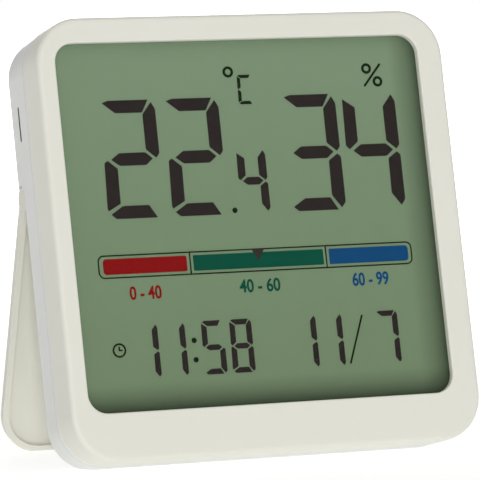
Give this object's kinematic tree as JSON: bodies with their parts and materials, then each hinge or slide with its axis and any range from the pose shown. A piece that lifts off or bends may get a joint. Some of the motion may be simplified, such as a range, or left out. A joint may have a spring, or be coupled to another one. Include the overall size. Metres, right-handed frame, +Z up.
{
  "type": "desk thermometer",
  "caption": "Square desk thermometer with humidity and clock display, leaning on a folding rear stand.",
  "frame": {"origin": "middle of the flat base strip on which the housing leans back, on the table", "axes": "+X to the right as the display is read, +Y to the back, +Z up from the table"},
  "size_m": [0.085, 0.0455, 0.0854],
  "materials": {
    "front_frame": "white ABS, fine matt",
    "rear_cover": "white ABS, fine matt",
    "stand": "white ABS, fine matt",
    "battery_door": "white ABS, fine matt",
    "button": "pale grey ABS",
    "display_window": "clear moulded acrylic",
    "lcd_film": "grey green polarising film",
    "lcd_glass": "thin float glass",
    "holder": "white ABS",
    "zebra": "layered silicone rubber",
    "board": "green solder mask on glass epoxy",
    "resin": "black epoxy resin",
    "steel": "nickel plated steel",
    "ceramic": "tan ceramic",
    "black_plastic": "black moulded plastic",
    "sensor_cage": "pale moulded plastic",
    "cell_wrap": "plain printed shrink sleeve"
  },
  "bodies": {
    "housing": {"front_frame": "front_frame", "rear_cover": "rear_cover", "display_window": "display_window", "lcd_polariser": "lcd_film", "lcd_front_glass": "lcd_glass", "lcd_rear_glass": "lcd_glass", "lcd_reflector": "lcd_film", "lcd_holder": "holder", "zebra_strip": "zebra", "circuit_board": "board", "controller_chip": "resin", "quartz_crystal": "steel", "chip_capacitors": "ceramic", "chip_resistors": "black_plastic", "button_switches": "black_plastic", "humidity_sensor": "sensor_cage", "thermistor": "resin", "battery_cell": "cell_wrap", "positive_contact": "steel", "negative_contact": "steel", "battery_spring": "steel", "board_screws": "steel", "case_screws": "steel", "hinge_pins": "steel"},
    "stand": {"stand": "stand"},
    "battery_door": {"battery_door": "battery_door"},
    "mode_key": {"mode_button": "button", "mode_plunger": "black_plastic"},
    "up_key": {"up_button": "button", "up_plunger": "black_plastic"},
    "down_key": {"down_button": "button", "down_plunger": "black_plastic"}
  },
  "joints": [
    {"name": "stand_fold", "type": "hinge", "parent": "housing", "child": "stand", "pos_m": [0, 0.01479, 0.05059], "axis": [-1, 0, 0], "range_deg": [0, 29.5]},
    {"name": "door_swing", "type": "hinge", "parent": "housing", "child": "battery_door", "pos_m": [0, 0.01998, 0.06257], "axis": [-1, 0, 0], "range_deg": [0, 75]},
    {"name": "mode_press", "type": "slide", "parent": "housing", "child": "mode_key", "axis": [0, -0.9732, 0.23], "range_m": [0, 0.0004], "stiffness_N_per_m": 4000},
    {"name": "up_press", "type": "slide", "parent": "housing", "child": "up_key", "axis": [0, -0.9732, 0.23], "range_m": [0, 0.0004], "stiffness_N_per_m": 4000},
    {"name": "down_press", "type": "slide", "parent": "housing", "child": "down_key", "axis": [0, -0.9732, 0.23], "range_m": [0, 0.0004], "stiffness_N_per_m": 4000}
  ]
}
